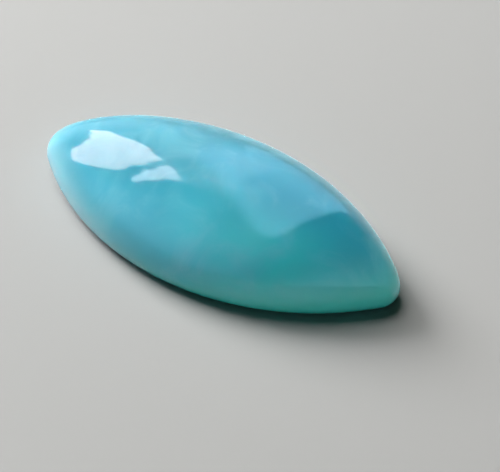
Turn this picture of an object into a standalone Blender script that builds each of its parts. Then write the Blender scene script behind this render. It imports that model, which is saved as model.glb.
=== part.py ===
"""A polished larimar stone, cut as a marquise cabochon: one solid with a domed top and a flat back.

Metres, +Z up. X runs along the stone from tip to tip and Y across it. The origin is the middle
of the flat back, which lies on the surface that the stone rests on.
"""

import math

import bmesh
import bpy
from mathutils import Matrix, Vector

MM = 0.001

# Driving sizes of the stone
LENGTH = 25.0 * MM
WIDTH = 11.6 * MM
HEIGHT = 5.6 * MM
TIP_RADIUS = 1.4 * MM  # rounding of both tips, seen from above
GIRDLE_HEIGHT = 0.9 * MM  # the widest line, above the flat back
BACK_INSET = 0.7 * MM  # how far the rounded lower edge runs in to the flat back
TIP_FALL = 2.2  # power of the crown's fall towards the tips: 2 is an ellipse, more is fuller

# The outline seen from above is two arcs that meet at the tips, drawn a tip radius further in
# and then set out again by that radius
INNER_LENGTH = LENGTH / 2 - TIP_RADIUS
INNER_WIDTH = WIDTH / 2 - TIP_RADIUS
INNER_RADIUS = (INNER_LENGTH**2 + INNER_WIDTH**2) / (2 * INNER_WIDTH)
SIDE_RADIUS = INNER_RADIUS + TIP_RADIUS
CENTRE_DROP = INNER_RADIUS - INNER_WIDTH  # from the long axis to the centre of a side's arc
SIDE_REACH = INNER_LENGTH * SIDE_RADIUS / INNER_RADIUS  # where a side's arc meets the tip's

# Fineness of the mesh
STATIONS = 72  # cross-sections from tip to tip
ARCH_FACES = 36  # faces over the dome from one side to the other, an even number
EDGE_RINGS = 5  # rings of faces that round the lower edge

# Finish
LARIMAR_BLUE = (0.075, 0.39, 0.46, 1.0)
POLISH_ROUGHNESS = 0.08
STONE_IOR = 1.6


def clear_scene():
    for old in list(bpy.data.objects):
        bpy.data.objects.remove(old)


def half_width(x):
    """Half the outline's width at the distance x along the stone."""
    x = abs(x)
    if x < SIDE_REACH:
        return math.sqrt(SIDE_RADIUS**2 - x**2) - CENTRE_DROP
    return math.sqrt(max(0.0, TIP_RADIUS**2 - (x - INNER_LENGTH) ** 2))


def crown_rise(x):
    """Height of the crown line over the girdle at x, which falls to nothing at the tips."""
    fall = min(1.0, abs(x) / (LENGTH / 2)) ** TIP_FALL
    return (HEIGHT - GIRDLE_HEIGHT) * math.sqrt(1.0 - fall)


def outward(rim):
    """The outline's outward direction, in plan, at a point of it or of a line set in from it."""
    past_side = (abs(rim.x) - INNER_LENGTH) * CENTRE_DROP > abs(rim.y) * INNER_LENGTH
    if past_side:
        arc_centre = Vector((math.copysign(INNER_LENGTH, rim.x), 0.0))
    else:
        arc_centre = Vector((0.0, -math.copysign(CENTRE_DROP, rim.y)))
    return (rim.xy - arc_centre).normalized()


def make_dome(shape):
    """Stretches half a ball to the domed top.

    The ball's poles go to the tips, and each ring between them becomes a cross-section of the
    stone: half an ellipse, as wide as the outline there and as high as the crown line.
    """
    lying_down = Matrix.Rotation(math.pi / 2, 4, "Y")
    bmesh.ops.create_uvsphere(
        shape, u_segments=2 * ARCH_FACES, v_segments=STATIONS, radius=1.0, matrix=lying_down
    )
    lower_half = [vertex for vertex in shape.verts if vertex.co.z < -1e-5]
    bmesh.ops.delete(shape, geom=lower_half, context="VERTS")
    for vertex in shape.verts:
        x = vertex.co.x * LENGTH / 2
        arch = Vector((vertex.co.y, max(0.0, vertex.co.z)))
        if arch.length < 1e-5:
            arch.zero()
        else:
            arch.normalize()
        vertex.co = (x, arch.x * half_width(x), GIRDLE_HEIGHT + arch.y * crown_rise(x))


def round_lower_edge(shape):
    """Extrudes the girdle down and in by a quarter turn, and closes it with the flat back."""
    rim_edges = [edge for edge in shape.edges if edge.is_boundary]
    drop_before = inset_before = 0.0
    for ring in range(1, EDGE_RINGS + 1):
        turn = ring / EDGE_RINGS * math.pi / 2
        drop = GIRDLE_HEIGHT * math.sin(turn)
        inset = BACK_INSET * (1.0 - math.cos(turn))
        made = bmesh.ops.extrude_edge_only(shape, edges=rim_edges)["geom"]
        for vertex in (item for item in made if isinstance(item, bmesh.types.BMVert)):
            step = outward(vertex.co) * (inset_before - inset)
            vertex.co += Vector((step.x, step.y, drop_before - drop))
        rim_edges = [item for item in made if isinstance(item, bmesh.types.BMEdge) and item.is_boundary]
        drop_before, inset_before = drop, inset
    bmesh.ops.edgeloop_fill(shape, edges=rim_edges)


def stone_material():
    material = bpy.data.materials.new("Polished larimar")
    material.use_nodes = True
    shader = material.node_tree.nodes["Principled BSDF"]
    shader.inputs["Base Color"].default_value = LARIMAR_BLUE
    shader.inputs["Roughness"].default_value = POLISH_ROUGHNESS
    shader.inputs["Metallic"].default_value = 0.0
    shader.inputs["IOR"].default_value = STONE_IOR
    return material


def make_stone(collection):
    shape = bmesh.new()
    make_dome(shape)
    round_lower_edge(shape)
    bmesh.ops.recalc_face_normals(shape, faces=shape.faces)
    mesh = bpy.data.meshes.new("larimar_cabochon")
    shape.to_mesh(mesh)
    shape.free()
    mesh.shade_smooth()
    mesh.materials.append(stone_material())
    stone = bpy.data.objects.new("larimar_cabochon", mesh)
    collection.objects.link(stone)
    return stone


def main():
    clear_scene()
    collection = bpy.data.collections.new("Larimar cabochon")
    bpy.context.scene.collection.children.link(collection)
    make_stone(collection)


main()
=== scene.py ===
import math

import bmesh
import bpy
import numpy as np
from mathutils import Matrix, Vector


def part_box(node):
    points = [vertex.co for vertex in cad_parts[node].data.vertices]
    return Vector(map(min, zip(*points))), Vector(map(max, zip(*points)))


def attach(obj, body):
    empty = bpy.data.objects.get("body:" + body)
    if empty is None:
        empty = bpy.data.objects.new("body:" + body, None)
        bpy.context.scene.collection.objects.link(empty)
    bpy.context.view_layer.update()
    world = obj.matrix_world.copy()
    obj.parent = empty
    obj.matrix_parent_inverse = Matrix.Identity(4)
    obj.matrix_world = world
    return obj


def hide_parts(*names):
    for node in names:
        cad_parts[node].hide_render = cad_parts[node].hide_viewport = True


# A polished larimar stone, cut as a marquise cabochon, on a pale floor in soft light.
# Everything is in metres: X runs from tip to tip, and the stone rests on z = 0.

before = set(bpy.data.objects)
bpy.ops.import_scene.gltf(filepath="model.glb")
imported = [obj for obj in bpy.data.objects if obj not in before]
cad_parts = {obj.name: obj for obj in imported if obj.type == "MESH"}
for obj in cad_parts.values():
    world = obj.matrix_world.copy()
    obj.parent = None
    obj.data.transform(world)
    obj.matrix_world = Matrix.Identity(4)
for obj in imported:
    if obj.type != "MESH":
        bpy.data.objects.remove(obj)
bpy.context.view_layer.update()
mm = 0.001
print("frame loaded:", sorted(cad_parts))


def addMesh(name, points, faces):
    # points is an (n, 3) array of places, faces an (m, 4) array of corner numbers
    mesh = bpy.data.meshes.new(name)
    mesh.from_pydata(points.tolist(), [], faces.tolist())
    mesh.validate()
    mesh.shade_smooth()
    piece = bpy.data.objects.new(name, mesh)
    bpy.context.scene.collection.objects.link(piece)
    return piece


def gridFaces(rows, columns):
    # the four corners of each cell of a grid whose points are numbered row by row
    number = np.arange(rows * columns).reshape(rows, columns)
    corners = [number[:-1, :-1], number[1:, :-1], number[1:, 1:], number[:-1, 1:]]
    return np.stack(corners, -1).reshape(-1, 4)


# The stone: the sizes that aren't in the frame's box
stone = {
    "tipRadius": 1.4 * mm,  # rounding of both tips, seen from above
    "girdleHeight": 0.9 * mm,  # the widest line, above the flat back
    "backInset": 0.7 * mm,  # how far the rounded lower edge runs in
    "tipFall": 2.2,  # power of the crown's fall to the tips, 2 is an ellipse
    "cells": 150,  # mesh cells along each side of the square pulled over the dome
    "edgeShare": 0.14,  # share of the under side's cells that the rounded edge takes
    "joinGap": 0.0002 * mm,  # points nearer than this are joined at the girdle
    "tipShare": 0.9999999,  # past this share of the half length a point is the tip itself
    "polishWave": 0.012 * mm,  # rise and fall of a hand-made polish
    "waveOne": (0.9, 0.5),  # how fast its first wave turns with x and y, in each millimetre
    "waveTwo": (0.3, 1.1, 1.2),  # and its second, with where that one starts
}

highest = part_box("larimar_cabochon")[1]
halfLength = highest.x
halfWidth = highest.y
height = highest.z

# the outline is two long arcs that meet at the tips, drawn a tip radius in and set out again
innerLength = halfLength - stone["tipRadius"]
innerWidth = halfWidth - stone["tipRadius"]
innerRadius = (innerLength**2 + innerWidth**2) / (2 * innerWidth)
sideRadius = innerRadius + stone["tipRadius"]
centreDrop = innerRadius - innerWidth
sideReach = innerLength * sideRadius / innerRadius


def outlineHalfWidth(x):
    # Half the outline's width: the root of the side's radius squared less x squared, less the
    # drop of its centre, out to sideReach, and the same for the tip's circle from there on.
    x = np.abs(x)
    side = np.sqrt(sideRadius**2 - np.minimum(x, sideReach) ** 2) - centreDrop
    tip = np.sqrt(np.maximum(0, stone["tipRadius"] ** 2 - (x - innerLength) ** 2))
    return np.where(x < sideReach, side, tip)


def discPlaces(cells):
    # A square grid pulled to a disc: the share of the way out is the larger of |u| and |v|, and
    # the turn runs evenly along each of the square's sides.
    line = np.linspace(-1, 1, cells + 1)
    u, v = np.meshgrid(line, line, indexing="ij")
    out = np.maximum(np.abs(u), np.abs(v))
    safe = np.where(out > 0, out, 1)
    sideways = np.abs(u) >= np.abs(v)
    turn = np.where(sideways, v / safe * np.sign(u), 2 - u / safe * np.sign(v)) * math.pi / 4
    turn = np.where(np.where(sideways, u, v) < 0, turn + math.pi, turn)
    return out, turn


def rimPlaces(turn):
    # The outline at a turn: x is the half length times its cosine, y follows the arcs. The
    # outward direction is away from the centre of the arc that the place is on.
    x = halfLength * np.cos(turn)
    x = np.where(np.abs(x) > halfLength * stone["tipShare"], np.sign(x) * halfLength, x)
    y = outlineHalfWidth(x) * np.sign(np.sin(turn))
    onSide = np.abs(x) < sideReach
    awayX = np.where(onSide, x, x - np.sign(x) * innerLength)
    awayY = np.where(onSide, y + np.sign(y) * centreDrop, y)
    reach = np.hypot(awayX, awayY)
    return x, y, awayX / reach, awayY / reach


def domePoints(cells):
    # Plan places run from the middle to the outline as a sine, so the steep rim has enough of
    # them. The height over the girdle is the full rise times the root of
    # (1 - (y / outline)^2) (1 - (x / half length)^tipFall).
    out, turn = discPlaces(cells)
    rimX, rimY, _, _ = rimPlaces(turn)
    share = np.sin(out * math.pi / 2)
    x, y = rimX * share, rimY * share
    across = np.clip(y / np.maximum(outlineHalfWidth(x), 1e-9), -1, 1)
    along = np.clip(np.abs(x) / halfLength, 0, 1)
    lift = np.sqrt(np.maximum(0, (1 - across**2) * (1 - along ** stone["tipFall"])))
    lift = np.where(out >= 1, 0, lift)
    z = stone["girdleHeight"] + (height - stone["girdleHeight"]) * lift
    # the polish is a sine times a cosine of slanting lines, and fades out at the rim
    (oneX, oneY), (twoX, twoY, twoStart) = stone["waveOne"], stone["waveTwo"]
    wave = np.sin(x / mm * oneX + y / mm * oneY) * np.cos(y / mm * twoY - x / mm * twoX + twoStart)
    z += stone["polishWave"] * (wave - 1) * lift**2
    return np.stack([x, y, z], -1).reshape(-1, 3)


def underPoints(cells):
    # From the girdle in, a quarter turn of an ellipse rounds the lower edge, and the rest is the
    # flat back, shrunk evenly to the middle.
    out, turn = discPlaces(cells)
    rimX, rimY, awayX, awayY = rimPlaces(turn)
    flatShare = 1 - stone["edgeShare"]
    quarter = np.clip((1 - out) / stone["edgeShare"], 0, 1) * math.pi / 2
    inset = stone["backInset"] * (1 - np.cos(quarter))
    shrink = np.minimum(out / flatShare, 1)
    x = (rimX - awayX * inset) * shrink
    y = (rimY - awayY * inset) * shrink
    z = stone["girdleHeight"] * (1 - np.sin(quarter))
    return np.stack([x, y, z], -1).reshape(-1, 3)


def makeStone():
    # the dome's sheet and the under side's, turned over, joined along the girdle
    cells = stone["cells"]
    top, under = domePoints(cells), underPoints(cells)
    faces = gridFaces(cells + 1, cells + 1)
    points = np.concatenate([top, under])
    piece = addMesh("larimar_stone", points, np.concatenate([faces, faces[:, ::-1] + len(top)]))
    shape = bmesh.new()
    shape.from_mesh(piece.data)
    bmesh.ops.remove_doubles(shape, verts=shape.verts, dist=stone["joinGap"])
    bmesh.ops.recalc_face_normals(shape, faces=shape.faces)
    shape.to_mesh(piece.data)
    shape.free()
    return piece


# The larimar: colours are in linear light, places and pattern sizes in millimetres
larimar = {
    # The deep, pale and green body colours carry painted shade and light: darker on the side the
    # lamps light most, paler where they reach less
    "deepBlueAndPaintedShade": (0.018, 0.213, 0.283, 1),  # the deeper side, at +Y, darkened as painted shade where the lamps light most
    "paleBlueAndPaintedLight": (0.034, 0.275, 0.357, 1),  # the paler side, at -Y, towards -X, lightened as painted light where the lamps reach less
    "paleGreenAndPaintedLight": (0.038, 0.375, 0.395, 1),  # and towards +X, greener and lightened further as painted light
    "milkyBlue": (0.095, 0.340, 0.415, 1),  # the clouds in all of them
    # the pale colour on the lower edge at the -X end is a painted rim light, a glow and reflection
    # painted into the colour
    "paintedRimLight": (0.215, 0.440, 0.515, 1),  # a pale painted rim light along the thin lower edge at the -X end
    "greenEdge": (0.032, 0.400, 0.345, 1),  # and at the +X end
    "paleAndPaintedLightWay": (0, -0.11, 0),  # how fast the colour pales towards -Y, for each millimetre: painted light and shade over a real drift of colour
    "paleAndPaintedLightRange": (0.06, 0.58),  # the stretch of that in which deep turns to pale
    "greenRange": (-4, 8),  # the stretch of X in which the pale side turns green
    "drift": {"size": 9.0, "detail": 2, "roughness": 0.5, "distortion": 0.4},  # wide drifts
    "driftBend": 0.2,  # how far they bend the change from deep to pale
    "cloud": {"size": 3.2, "detail": 4, "roughness": 0.55, "distortion": 0.8},  # milky clouds
    "cloudRange": (0.42, 0.72),  # the noise at which a cloud begins and is full
    "cloudShare": 0.55,  # how far a full cloud covers the colour under it
    "edgeGreenRange": (-8, 2),  # the stretch of X in which the edge turns green
    "rimLightAndGreenEdgeRange": (2.4, -0.8),  # the heights between which the painted rim light and the green edge fade in, downwards
    "edgeShare": 0.85,  # how far it covers the colour under it
    "edgeClimb": -0.18,  # how fast those heights climb, for each millimetre to the tips
    "glow": 1.0,  # share of the light that goes inside
    "glowDepth": 5.0 * mm,  # how far it wanders there
    "glowColour": (0.35, 0.85, 1.0),  # the share of that depth for red, green and blue
    "gloss": 0.07,
    "index": 1.6,
}


def node(tree, kind, inputs=None, **settings):
    made = tree.nodes.new(kind)
    for name, value in (inputs or {}).items():
        made.inputs[name].default_value = value
    for name, value in settings.items():
        setattr(made, name, value)
    return made


def noise(tree, where, size, detail, roughness, distortion):
    inputs = {"Scale": 1 / size, "Detail": detail, "Roughness": roughness, "Distortion": distortion}
    made = node(tree, "ShaderNodeTexNoise", inputs)
    tree.links.new(where, made.inputs["Vector"])
    return made.outputs["Fac"]


def remap(tree, value, low, high, toHigh=1.0):
    # rises smoothly from 0 at the low value to toHigh at the high one
    inputs = {"From Min": low, "From Max": high, "To Min": 0, "To Max": toHigh}
    made = node(tree, "ShaderNodeMapRange", inputs, interpolation_type="SMOOTHSTEP")
    tree.links.new(value, made.inputs["Value"])
    return made.outputs["Result"]


def mixColours(tree, share, first, second):
    # the first colour at a share of 0 and the second at 1; either may come from another node
    made = node(tree, "ShaderNodeMix", data_type="RGBA")
    sockets = made.inputs[0], made.inputs[6], made.inputs[7]
    for socket, value in zip(sockets, (share, first, second)):
        if isinstance(value, bpy.types.NodeSocket):
            tree.links.new(value, socket)
        else:
            socket.default_value = value
    return made.outputs[2]


def multiplyAdd(tree, value, factor, added):
    made = node(tree, "ShaderNodeMath", operation="MULTIPLY_ADD")
    tree.links.new(value, made.inputs[0])
    made.inputs[1].default_value = factor
    tree.links.new(added, made.inputs[2])
    return made.outputs["Value"]


def larimarMaterial():
    material = bpy.data.materials.new("polishedLarimar")
    material.use_nodes = True
    tree = material.node_tree
    shader = tree.nodes["Principled BSDF"]
    place = node(tree, "ShaderNodeTexCoord")
    inMillimetres = node(tree, "ShaderNodeMapping", {"Scale": (1000, 1000, 1000)})
    tree.links.new(place.outputs["Object"], inMillimetres.inputs["Vector"])
    where = inMillimetres.outputs["Vector"]
    drift = noise(tree, where, **larimar["drift"])
    cloud = noise(tree, where, **larimar["cloud"])
    apart = node(tree, "ShaderNodeSeparateXYZ")
    tree.links.new(where, apart.inputs[0])
    # from the deep side to the pale side, painted shade and light that even out the lamps over a
    # real drift of colour: a plane through the stone, bent a little by the drifts
    slope = node(tree, "ShaderNodeVectorMath", operation="DOT_PRODUCT")
    tree.links.new(where, slope.inputs[0])
    slope.inputs[1].default_value = larimar["paleAndPaintedLightWay"]
    bend = multiplyAdd(tree, drift, larimar["driftBend"], slope.outputs["Value"])
    greening = remap(tree, apart.outputs["X"], *larimar["greenRange"])
    # painted light: the pale side and its greener +X end are lighter where the lamps reach less
    pale = mixColours(tree, greening, larimar["paleBlueAndPaintedLight"], larimar["paleGreenAndPaintedLight"])
    share = remap(tree, bend, *larimar["paleAndPaintedLightRange"])
    colour = mixColours(tree, share, larimar["deepBlueAndPaintedShade"], pale)
    clouding = remap(tree, cloud, *larimar["cloudRange"], larimar["cloudShare"])
    colour = mixColours(tree, clouding, colour, larimar["milkyBlue"])
    # the thin edge is a pale painted rim light at the -X end that turns to the stone's green
    # towards +X; it is full at the flat back and fades out upwards, later towards the tips
    edgeGreening = remap(tree, apart.outputs["X"], *larimar["edgeGreenRange"])
    # painted rim light at the -X end, mixed towards the green edge colour at +X
    edge = mixColours(tree, edgeGreening, larimar["paintedRimLight"], larimar["greenEdge"])
    reach = node(tree, "ShaderNodeMath", operation="ABSOLUTE")
    tree.links.new(apart.outputs["X"], reach.inputs[0])
    level = multiplyAdd(tree, reach.outputs[0], larimar["edgeClimb"], apart.outputs["Z"])
    rimLightAndGreenEdging = remap(tree, level, *larimar["rimLightAndGreenEdgeRange"], larimar["edgeShare"])
    colour = mixColours(tree, rimLightAndGreenEdging, colour, edge)
    tree.links.new(colour, shader.inputs["Base Color"])
    shader.inputs["Roughness"].default_value = larimar["gloss"]
    shader.inputs["IOR"].default_value = larimar["index"]
    shader.inputs["Subsurface Weight"].default_value = larimar["glow"]
    shader.inputs["Subsurface Scale"].default_value = larimar["glowDepth"]
    shader.inputs["Subsurface Radius"].default_value = larimar["glowColour"]
    return material


stonePiece = makeStone()
stonePiece.data.materials.append(larimarMaterial())
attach(stonePiece, "root")
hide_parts("larimar_cabochon")
print("stone made:", len(stonePiece.data.polygons), "faces")


# The studio is a pale floor, soft lights, and panels that are there only for the polish to
# mirror. A direction is given from the zenith, as so many degrees over to +X and to +Y.

def directions(degrees):
    # Unit vectors for an array of directions: the angle from the zenith is the length of the
    # pair of degrees, and its sine is shared out along them.
    angle = np.maximum(np.hypot(degrees[..., 0], degrees[..., 1]), 1e-9)
    flat = degrees * (np.sin(np.radians(angle)) / angle)[..., None]
    return np.concatenate([flat, np.cos(np.radians(angle))[..., None]], -1)


floorLook = {
    "tone": (0.47, 0.47, 0.465, 1),
    "roughness": 0.8,
    "reach": 2.0,
    "gap": 0.01 * mm,  # under the flat back
}


def addFloor():
    # a flat square grid, with no polish, so that it doesn't mirror the panels
    line = np.linspace(-floorLook["reach"], floorLook["reach"], 3)
    x, y = np.meshgrid(line, line, indexing="ij")
    points = np.stack([x, y, x * 0 - floorLook["gap"]], -1).reshape(-1, 3)
    floor = addMesh("floor", points, gridFaces(3, 3))
    material = bpy.data.materials.new("paleFloor")
    material.use_nodes = True
    shader = material.node_tree.nodes["Principled BSDF"]
    shader.inputs["Base Color"].default_value = floorLook["tone"]
    shader.inputs["Roughness"].default_value = floorLook["roughness"]
    shader.inputs["Specular IOR Level"].default_value = 0
    floor.data.materials.append(material)


# The light that fills the room, apart from the lamps
fill = {
    "brightSide": (-0.75, 0.62, 0.2),  # where the room is lightest
    "fade": (-0.4, 0.9),  # how far towards it the dark begins and ends to lift
    "light": (0.026, 0.027, 0.010, 1),
    "dark": (0.008, 0.009, 0.002, 1),
}


def addRoom():
    # the room is light on its bright side and dark on the other, and the polish doesn't mirror it
    world = bpy.data.worlds.new("softRoom")
    bpy.context.scene.world = world
    world.use_nodes = True
    tree = world.node_tree
    place = node(tree, "ShaderNodeTexCoord")
    side = node(tree, "ShaderNodeVectorMath", operation="DOT_PRODUCT")
    tree.links.new(place.outputs["Generated"], side.inputs[0])
    side.inputs[1].default_value = fill["brightSide"]
    share = remap(tree, side.outputs["Value"], *fill["fade"])
    tone = mixColours(tree, share, fill["dark"], fill["light"])
    tree.links.new(tone, tree.nodes["Background"].inputs["Color"])
    world.cycles_visibility.glossy = False


# Round soft lamps: direction in degrees, distance and size in metres, power in watts. The last
# two light the stone alone, for the light that comes through it.
lamps = {
    "windowLight": {
        "degrees": (-57, 12), "distance": 0.30, "size": 0.15, "power": 1.21,
        "colour": (1.0, 1.0, 0.995), "stoneOnly": False,
    },
    "skyLight": {
        "degrees": (-27, 15), "distance": 0.35, "size": 0.24, "power": 0.75,
        "colour": (1.0, 1.0, 0.995), "stoneOnly": False,
    },
    "throughLight": {
        "degrees": (24, -46), "distance": 0.60, "size": 0.60, "power": 2.3,
        "colour": (0.9, 0.97, 1.0), "stoneOnly": True,
    },
    "backLight": {
        "degrees": (8, 80), "distance": 0.60, "size": 0.50, "power": 0.72,
        "colour": (0.95, 0.98, 1.0), "stoneOnly": True,
    },
}


def addLamp(name, degrees, distance, size, power, colour, stoneOnly):
    lamp = bpy.data.lights.new(name, "AREA")
    lamp.shape = "DISK"
    lamp.size = size
    lamp.energy = power
    lamp.color = colour
    light = bpy.data.objects.new(name, lamp)
    direction = Vector(directions(np.array(degrees, float)))
    light.location = direction * distance
    light.rotation_euler = direction.to_track_quat("Z", "Y").to_euler()
    light.visible_glossy = False
    light.visible_camera = False
    bpy.context.scene.collection.objects.link(light)
    if stoneOnly:
        light.light_linking.receiver_collection = bpy.data.collections.new(name + "Reach")
        light.light_linking.receiver_collection.objects.link(stonePiece)


def step(value, edge, width):
    # rises smoothly from 0 to 1 over the width that is centred on the edge
    share = np.clip((value - edge) / width + 0.5, 0, 1)
    return share * share * (3 - 2 * share)


def softBox(x, y, box, soft):
    # 1 inside the box of degrees and 0 outside, with an edge of its own softness on each side
    left, right, front, back = box
    sides = step(x, left, soft[0]) * (1 - step(x, right, soft[1]))
    return sides * step(y, front, soft[2]) * (1 - step(y, back, soft[3]))


def patch(x, y, corners, soft):
    # 1 inside a shape with straight sides, whose corners are listed clockwise in degrees
    inside = 1.0
    for (x1, y1), (x2, y2) in zip(corners, corners[1:] + corners[:1]):
        reach = math.hypot(x2 - x1, y2 - y1)
        inside = inside * step(((x - x1) * (y2 - y1) - (y - y1) * (x2 - x1)) / reach, 0, soft)
    return inside


def dimmed(x, y, share, radius, width):
    # 1 near the zenith, and less by the share past the radius, both in degrees
    return 1 - share * step(np.hypot(x, y), radius, width)


def lightOf(amount, colour):
    return amount[..., None] * np.array(colour)


# What the polish mirrors of the room. A box is its left, right, front and back, in degrees, a
# soft value the width of an edge, and a dim value the share lost, the radius and the width.
room = {
    "sky": [(-28.5, 40), (-28.5, 130), (40, 130), (40, -18.5), (-2, -19.5), (-13.5, 3.8)],
    "skySoft": 6,
    "skyEnd": (5, 1.8),  # the x past which there is none of it, and the width of that edge
    "skyDim": (0.6, 78, 40),
    "skyColour": (0.9, 1.8, 2.6),
    "strip": (-31, -17, 8, 65),  # a grey strip between the window and the sky
    "stripSoft": (3, 6, 8, 20),
    "stripColour": (0.8, 0.8, 0.8),
    "haze": (-120, -30, 5, 75),  # the light wall round the window
    "hazeSoft": (10, 6, 40, 40),
    "hazeHollow": (-78, 8, 16, 14),  # middle, radius and edge of a duller place in it
    "hazeLeft": 0.6,  # the share that is left in that place
    "hazeColour": (1.1, 1.45, 1.55),
    "low": (-130, -25, -130, -20),  # the front left
    "lowSoft": (10, 50, 10, 50),
    "lowDim": (0.6, 82, 30),
    "lowColour": (0.6, 1.0, 1.3),
    "leftEnd": (5, 3),  # the x where the dark right half begins, and the width of that edge
    "leftColour": (0.3, 0.35, 0.5),
    "rim": (80, 30),  # the low ring all round
    "rimColour": (0.3, 0.3, 0.3),
    "far": (40, 40),  # the far right
    "farBack": (80, 40),  # and the far back of the right half
    "farColour": (0.5, 0.8, 1.0),
}


def roomGlow(x, y):
    # the light of each direction: every patch of the room times its colour, added up
    out = np.hypot(x, y)
    sky = patch(x, y, room["sky"], room["skySoft"]) * (1 - step(x, *room["skyEnd"]))
    sky = sky * dimmed(x, y, *room["skyDim"])
    strip = softBox(x, y, room["strip"], room["stripSoft"])
    hollowX, hollowY, radius, width = room["hazeHollow"]
    hollow = step(np.hypot(x - hollowX, y - hollowY), radius, width)
    haze = softBox(x, y, room["haze"], room["hazeSoft"])
    haze = haze * (room["hazeLeft"] + (1 - room["hazeLeft"]) * hollow)
    low = softBox(x, y, room["low"], room["lowSoft"]) * dimmed(x, y, *room["lowDim"])
    left = 1 - step(x, *room["leftEnd"])
    far = step(x, *room["far"]) + (1 - left) * step(y, *room["farBack"])
    glow = lightOf(sky, room["skyColour"])
    glow = glow + lightOf(strip, room["stripColour"])
    glow = glow + lightOf(haze, room["hazeColour"])
    glow = glow + lightOf(low, room["lowColour"])
    glow = glow + lightOf(left, room["leftColour"])
    glow = glow + lightOf(step(out, *room["rim"]), room["rimColour"])
    return glow + lightOf(far, room["farColour"])


# The window that the polish mirrors as its highlight, in degrees from the zenith
window = {
    "pane": [
        (-84, -18), (-70, 36), (-54, 38), (-39.5, 30),
        (-32, 20.5), (-37.5, 6), (-49, -11.5), (-68, -19),
    ],
    "paneColour": (6.5, 5.0, 5.0),
    "curtain": (-96, 26, 34, 3),  # middle, radius and edge of the round shape over its far side
    "sliver": [(-44, -17), (-35.5, 2), (-29.5, 18), (-26, 11), (-26.5, 4), (-40, -16)],
    "sliverColour": (5.6, 5.3, 5.8),
    "glints": [(-22, 20, 2.2), (-17, 20, 1.6), (-13, 22, 1.8)],  # place and radius of each
    "glintColour": (1.3, 1.3, 1.3),
    "soft": 1.5,
    # waves in the edges: their height in degrees, their run and where they start
    "waveX": [(0.5, 0.55, 1), (0.3, 1.3, 0)],
    "waveY": [(0.5, 0.5, 0), (0.3, 1.1, 2)],
}


def wavy(along, waves):
    # each wave is its height times the sine of its run along the line, past its start
    return sum(tall * np.sin(along * run + start) for tall, run, start in waves)


def windowGlow(x, y):
    # a bright window with an uneven edge, bitten into by the round shape of a curtain
    waveX = x + wavy(y, window["waveX"])
    waveY = y + wavy(x, window["waveY"])
    curtainX, curtainY, radius, width = window["curtain"]
    curtain = step(np.hypot(waveX - curtainX, waveY - curtainY), radius, width)
    pane = patch(waveX, waveY, window["pane"], window["soft"]) * curtain
    sliver = patch(waveX, waveY, window["sliver"], window["soft"])
    glints = sum(
        1 - step(np.hypot(waveX - glintX, waveY - glintY), size, size)
        for glintX, glintY, size in window["glints"]
    )
    glow = lightOf(pane, window["paneColour"]) + lightOf(sliver, window["sliverColour"])
    return roomGlow(x, y) + glow + lightOf(glints, window["glintColour"])


def addGlow(name, points, count, colours):
    # a sheet of so many points each way that shines in its own colours, for mirrored rays only
    panel = addMesh(name, points, gridFaces(count, count))
    glow = np.ones((len(points), 4), np.float32)
    glow[:, :3] = colours.reshape(-1, 3)
    shades = panel.data.attributes.new("glow", "FLOAT_COLOR", "POINT")
    shades.data.foreach_set("color", glow.ravel())
    material = bpy.data.materials.new(name)
    material.use_nodes = True
    tree = material.node_tree
    tree.nodes.clear()
    shade = node(tree, "ShaderNodeAttribute", attribute_name="glow")
    lit = node(tree, "ShaderNodeEmission")
    end = node(tree, "ShaderNodeOutputMaterial")
    tree.links.new(shade.outputs["Color"], lit.inputs["Color"])
    tree.links.new(lit.outputs[0], end.inputs["Surface"])
    panel.data.materials.append(material)
    panel.visible_camera = False
    panel.visible_diffuse = False
    panel.visible_shadow = False
    panel.visible_transmission = False
    panel.visible_volume_scatter = False


# The two panels: distance from the stone, the box of degrees that each spans, and its cells
panels = {
    "roomPanel": {"reach": 0.60, "box": (-100, 100, -100, 100), "cells": 200},
    "windowPanel": {"reach": 0.58, "box": (-92, -8, -28, 50), "cells": 200},
}


def addPanel(name, glowAt):
    # part of a wide sphere round the stone: each direction times the reach
    panel = panels[name]
    left, right, front, back = panel["box"]
    count = panel["cells"] + 1
    lines = np.linspace(left, right, count), np.linspace(front, back, count)
    x, y = np.meshgrid(*lines, indexing="ij")
    points = directions(np.stack([x, y], -1)).reshape(-1, 3) * panel["reach"]
    addGlow(name, points, count, glowAt(x, y))


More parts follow.
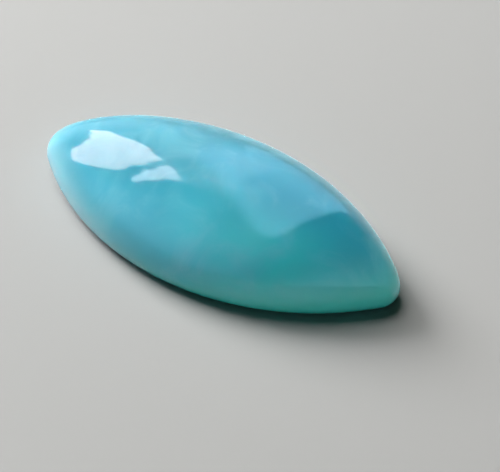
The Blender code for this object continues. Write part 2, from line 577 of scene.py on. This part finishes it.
# A sheet just over the floor behind the stone, which only the far rim's polish mirrors
rimSheet = {
    "gap": 0.8 * mm,  # between it and the outline
    "reach": 100 * mm,
    "lift": 0.02 * mm,  # over the flat back
    "count": 41,  # points each way
    "colour": (0.75, 0.95, 1.0),
}


def addRimSheet():
    # half a ring of ellipses: half length and half width, each with the same distance added,
    # times the cosine and the sine of the turn
    count = rimSheet["count"]
    lines = np.linspace(0, math.pi, count), np.linspace(rimSheet["gap"], rimSheet["reach"], count)
    turn, out = np.meshgrid(*lines, indexing="ij")
    x, y = (halfLength + out) * np.cos(turn), (halfWidth + out) * np.sin(turn)
    points = np.stack([x, y, x * 0 + rimSheet["lift"]], -1).reshape(-1, 3)
    addGlow("rimSheet", points, count, lightOf(np.ones(x.shape), rimSheet["colour"]))


# The photograph's view: from the front right, looking down
view = {
    "azimuth": 30.1,  # degrees round from the front
    "elevation": 48,  # degrees above the floor
    "distance": 95 * mm,
    "aimHeight": 2 * mm,  # over the middle of the flat back
    "aimRight": 2.05 * mm,  # and from there across the picture
    "aimDown": 1.91 * mm,
    "lens": 111.3,
    "clip": 1 * mm,
}


def addCamera():
    azimuth, elevation = math.radians(view["azimuth"]), math.radians(view["elevation"])
    back = Vector((
        math.sin(azimuth) * math.cos(elevation),
        -math.cos(azimuth) * math.cos(elevation),
        math.sin(elevation),
    ))
    right = Vector((math.cos(azimuth), math.sin(azimuth), 0))
    up = back.cross(right)
    aim = Vector((0, 0, view["aimHeight"])) + right * view["aimRight"] - up * view["aimDown"]
    lens = bpy.data.cameras.new("camera")
    lens.lens = view["lens"]
    lens.clip_start = view["clip"]
    camera = bpy.data.objects.new("camera", lens)
    camera.location = aim + back * view["distance"]
    camera.rotation_euler = back.to_track_quat("Z", "Y").to_euler()
    bpy.context.scene.collection.objects.link(camera)
    bpy.context.scene.camera = camera


addFloor()
addRoom()
for lampName, settings in lamps.items():
    addLamp(lampName, **settings)
print("floor and lamps made")
addPanel("roomPanel", roomGlow)
addRimSheet()
addPanel("windowPanel", windowGlow)
print("panels made")
addCamera()
bpy.context.scene.view_settings.view_transform = "Standard"
print("camera set")
